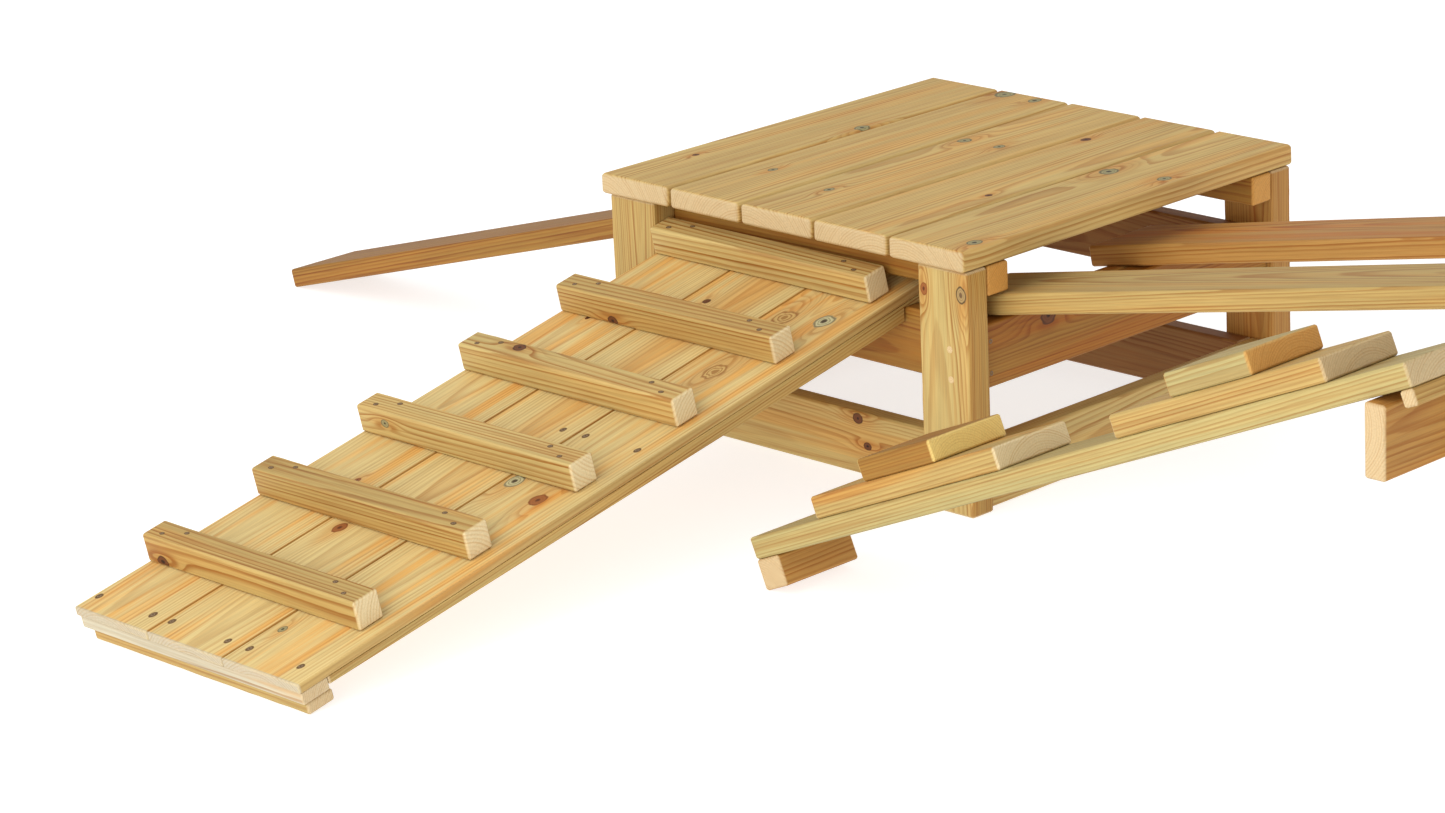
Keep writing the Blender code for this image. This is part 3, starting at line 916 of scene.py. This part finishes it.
def plug_wood():
    """Pale end grain of a plug."""
    settings = bpy.context.scene.platform_fixings
    shader = Shader("plug_wood")
    place = shader.add("ShaderNodeTexCoord").outputs["Object"]
    pores = shader.noise(place, (700.0, 700.0, 700.0), 4.0)
    pore_tint = tinted(settings.plug_colour, PORE_TINT)
    tint = shader.mix(pores.rise(0.40, 0.65) * 0.6, settings.plug_colour, pore_tint)
    shader.feed(shader.surface.inputs["Base Color"], tint)
    shader.feed(shader.surface.inputs["Roughness"], pores * 0.2 + 0.55)
    return shader.material


# ---------------------------------------------------------------- stage


LIGHT_TARGET = (0.0, 0.2, 0.2)
KEY_PLACE = (-0.9, -5.6, 4.6)
KEY_SIZE = 7.0
FILL_PLACE = (2.8, -5.0, 1.3)
FILL_SIZE = 3.0
SKY_COLOUR = (1.0, 1.0, 1.0, 1.0)
SENSOR_WIDTH = 36.0
LENS_SHIFT = (-0.0581, -0.0174)
FAR_CLIP = 200.0


def floor_material():
    """Pale matt floor that glows, so that the undersides are lit too."""
    settings = bpy.context.scene.platform_stage
    shader = Shader("studio_floor")
    place = shader.add("ShaderNodeTexCoord").outputs["Object"]
    mottle = shader.noise(place, (0.8, 0.8, 0.8), 1.0)
    tint = shader.mix(mottle * 0.1, settings.floor_colour, tinted(settings.floor_colour, (0.98, 0.98, 0.98)))
    shader.feed(shader.surface.inputs["Base Color"], tint)
    shader.surface.inputs["Roughness"].default_value = 0.9
    shader.feed(shader.surface.inputs["Emission Color"], tint)
    shader.surface.inputs["Emission Strength"].default_value = settings.floor_glow
    return shader.material


def make_floor():
    """Lay the studio floor under the object."""
    settings = bpy.context.scene.platform_stage
    shape = bmesh.new()
    bmesh.ops.create_grid(shape, x_segments=2, y_segments=2, size=settings.floor_size / 2)
    mesh = bpy.data.meshes.new("studio_floor")
    shape.to_mesh(mesh)
    shape.free()
    floor = bpy.data.objects.new("studio_floor", mesh)
    bpy.context.scene.collection.objects.link(floor)
    mesh.materials.append(floor_material())


def area_light(name, place, size, power):
    """A round soft light that faces the middle of the object."""
    lamp = bpy.data.lights.new(name, "AREA")
    lamp.shape = "DISK"
    lamp.size = size
    lamp.energy = power
    light = bpy.data.objects.new(name, lamp)
    light.location = place
    light.rotation_euler = (Vector(LIGHT_TARGET) - Vector(place)).to_track_quat("-Z", "Y").to_euler()
    bpy.context.scene.collection.objects.link(light)


def make_lights():
    """Set up the two soft lights and the even sky."""
    settings = bpy.context.scene.platform_stage
    area_light("key_light", KEY_PLACE, KEY_SIZE, settings.key_power)
    area_light("front_fill", FILL_PLACE, FILL_SIZE, settings.key_power * settings.fill_share)
    world = bpy.data.worlds.new("studio_sky")
    world.use_nodes = True
    sky = world.node_tree.nodes["Background"]
    sky.inputs["Color"].default_value = SKY_COLOUR
    sky.inputs["Strength"].default_value = settings.sky_strength
    bpy.context.scene.world = world


def make_camera():
    """Stand the camera where the settings say."""
    settings = bpy.context.scene.platform_stage
    lens = bpy.data.cameras.new("camera")
    lens.sensor_fit = "HORIZONTAL"
    lens.sensor_width = SENSOR_WIDTH
    lens.lens = settings.lens
    lens.shift_x, lens.shift_y = LENS_SHIFT
    lens.clip_end = FAR_CLIP
    camera = bpy.data.objects.new("camera", lens)
    turn = (
        Matrix.Rotation(settings.heading, 4, "Z")
        @ Matrix.Rotation(pi / 2 - settings.look_down, 4, "X")
        @ Matrix.Rotation(settings.roll, 4, "Z")
    )
    camera.matrix_world = Matrix.Translation(settings.camera_place) @ turn
    bpy.context.scene.collection.objects.link(camera)
    bpy.context.scene.camera = camera


# ---------------------------------------------------------------- operators


class PLATFORM_OT_deck(bpy.types.Operator):
    """Finish the deck planks"""

    bl_idname = "platform.deck"
    bl_label = "Deck planks"

    def execute(self, context):
        for node, grain in DECK.items():
            finish_timber(node, grain, context.scene.platform_wood.deck_ease)
        return {"FINISHED"}


class PLATFORM_OT_frame(bpy.types.Operator):
    """Finish the posts, bearers, aprons and low rails"""

    bl_idname = "platform.frame"
    bl_label = "Frame"

    def execute(self, context):
        for node, grain in FRAME.items():
            finish_timber(node, grain)
        return {"FINISHED"}


class PLATFORM_OT_ramp(bpy.types.Operator):
    """Finish the ramp's boards, cleats, stringers and battens"""

    bl_idname = "platform.ramp"
    bl_label = "Ramp"

    def execute(self, context):
        fine = context.scene.platform_wood.fine_ease
        screws = board_screws()
        for node, grain in RAMP_BOARDS.items():
            low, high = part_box(node)
            own = [place for place in screws if low.x < place.x < high.x]
            finish_timber(node, grain, fine, own)
        for node, grain in RAMP_BATTENS.items():
            finish_timber(node, grain, fine)
        finish_timber("ramp_foot_lower", RAMP_LOWER_FOOT)
        for node, grain in CLEATS.items():
            finish_timber(node, grain, marks=cleat_screws(node), pit=CLEAT_PIT_SHADE)
        for node, grain in STRINGERS.items():
            refinish_node(node, grain)
        return {"FINISHED"}


class PLATFORM_OT_balance(bpy.types.Operator):
    """Finish the balance plank and its hook batten"""

    bl_idname = "platform.balance"
    bl_label = "Balance plank"

    def execute(self, context):
        for node, grain in BALANCE.items():
            finish_timber(node, grain)
        return {"FINISHED"}


class PLATFORM_OT_bridge(bpy.types.Operator):
    """Finish the bridge and the trestle that carries it"""

    bl_idname = "platform.bridge"
    bl_label = "Bridge and trestle"

    def execute(self, context):
        for node, grain in {**BRIDGE, **TRESTLE}.items():
            finish_timber(node, grain)
        return {"FINISHED"}


class PLATFORM_OT_stepped(bpy.types.Operator):
    """Finish the stepped plank and its humps"""

    bl_idname = "platform.stepped"
    bl_label = "Stepped plank"

    def execute(self, context):
        for node, grain in STEPPED.items():
            finish_timber(node, grain)
        return {"FINISHED"}


class PLATFORM_OT_fixings(bpy.types.Operator):
    """Add the screws and plugs"""

    bl_idname = "platform.fixings"
    bl_label = "Screws and plugs"

    def execute(self, context):
        settings = context.scene.platform_fixings
        head = screw_head(settings.screw_radius)
        coating = screw_coating()
        up = lie_of("ramp_board_2").turn.col[2]
        scatter("ramp_board_screws", head, board_screws(), up, coating, "ramp", "screw")
        places = [place for node in CLEATS for place in cleat_screws(node)]
        sunk_head = screw_head(settings.sunk_screw_radius)
        scatter("ramp_cleat_screws", sunk_head, places, up, coating, "ramp", "screw")
        low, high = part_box("apron_right")
        places = [Vector((high.x, low.y + APRON_SCREW_INSET, height)) for height in APRON_SCREW_HEIGHTS]
        scatter("apron_screws", head, places, X, coating, "platform", "screw")
        low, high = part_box("post_front_right")
        places = [Vector((high.x - inset, low.y, height)) for inset, height in PLUG_PLACES]
        plug = plug_head(settings.plug_radius)
        scatter("post_plugs", plug, places, -Y, plug_wood(), "platform", "post")
        return {"FINISHED"}


class PLATFORM_OT_stage(bpy.types.Operator):
    """Set up the floor, the lights and the camera"""

    bl_idname = "platform.stage"
    bl_label = "Stage"

    def execute(self, context):
        make_floor()
        make_lights()
        make_camera()
        context.scene.view_settings.view_transform = "Standard"
        return {"FINISHED"}


OPERATORS = (
    PLATFORM_OT_deck,
    PLATFORM_OT_frame,
    PLATFORM_OT_ramp,
    PLATFORM_OT_balance,
    PLATFORM_OT_bridge,
    PLATFORM_OT_stepped,
    PLATFORM_OT_fixings,
    PLATFORM_OT_stage,
)


class PLATFORM_PT_build(bpy.types.Panel):
    """Buttons for each part of the platform"""

    bl_label = "Climbing platform"
    bl_idname = "PLATFORM_PT_build"
    bl_space_type = "VIEW_3D"
    bl_region_type = "UI"
    bl_category = "Platform"

    def draw(self, context):
        for operator in OPERATORS:
            self.layout.operator(operator.bl_idname)


SETTINGS = {
    "platform_wood": WoodSettings,
    "platform_fixings": FixingSettings,
    "platform_stage": StageSettings,
}


def register():
    for kind in (*SETTINGS.values(), *OPERATORS, PLATFORM_PT_build):
        bpy.utils.register_class(kind)
    for name, kind in SETTINGS.items():
        setattr(bpy.types.Scene, name, bpy.props.PointerProperty(type=kind))


def unregister():
    for name in SETTINGS:
        delattr(bpy.types.Scene, name)
    for kind in (PLATFORM_PT_build, *reversed(OPERATORS), *SETTINGS.values()):
        bpy.utils.unregister_class(kind)


def main():
    register()
    bpy.ops.platform.stage()
    bpy.ops.platform.deck()
    bpy.ops.platform.frame()
    bpy.ops.platform.ramp()
    bpy.ops.platform.balance()
    bpy.ops.platform.bridge()
    bpy.ops.platform.stepped()
    bpy.ops.platform.fixings()


if __name__ == "__main__":
    main()
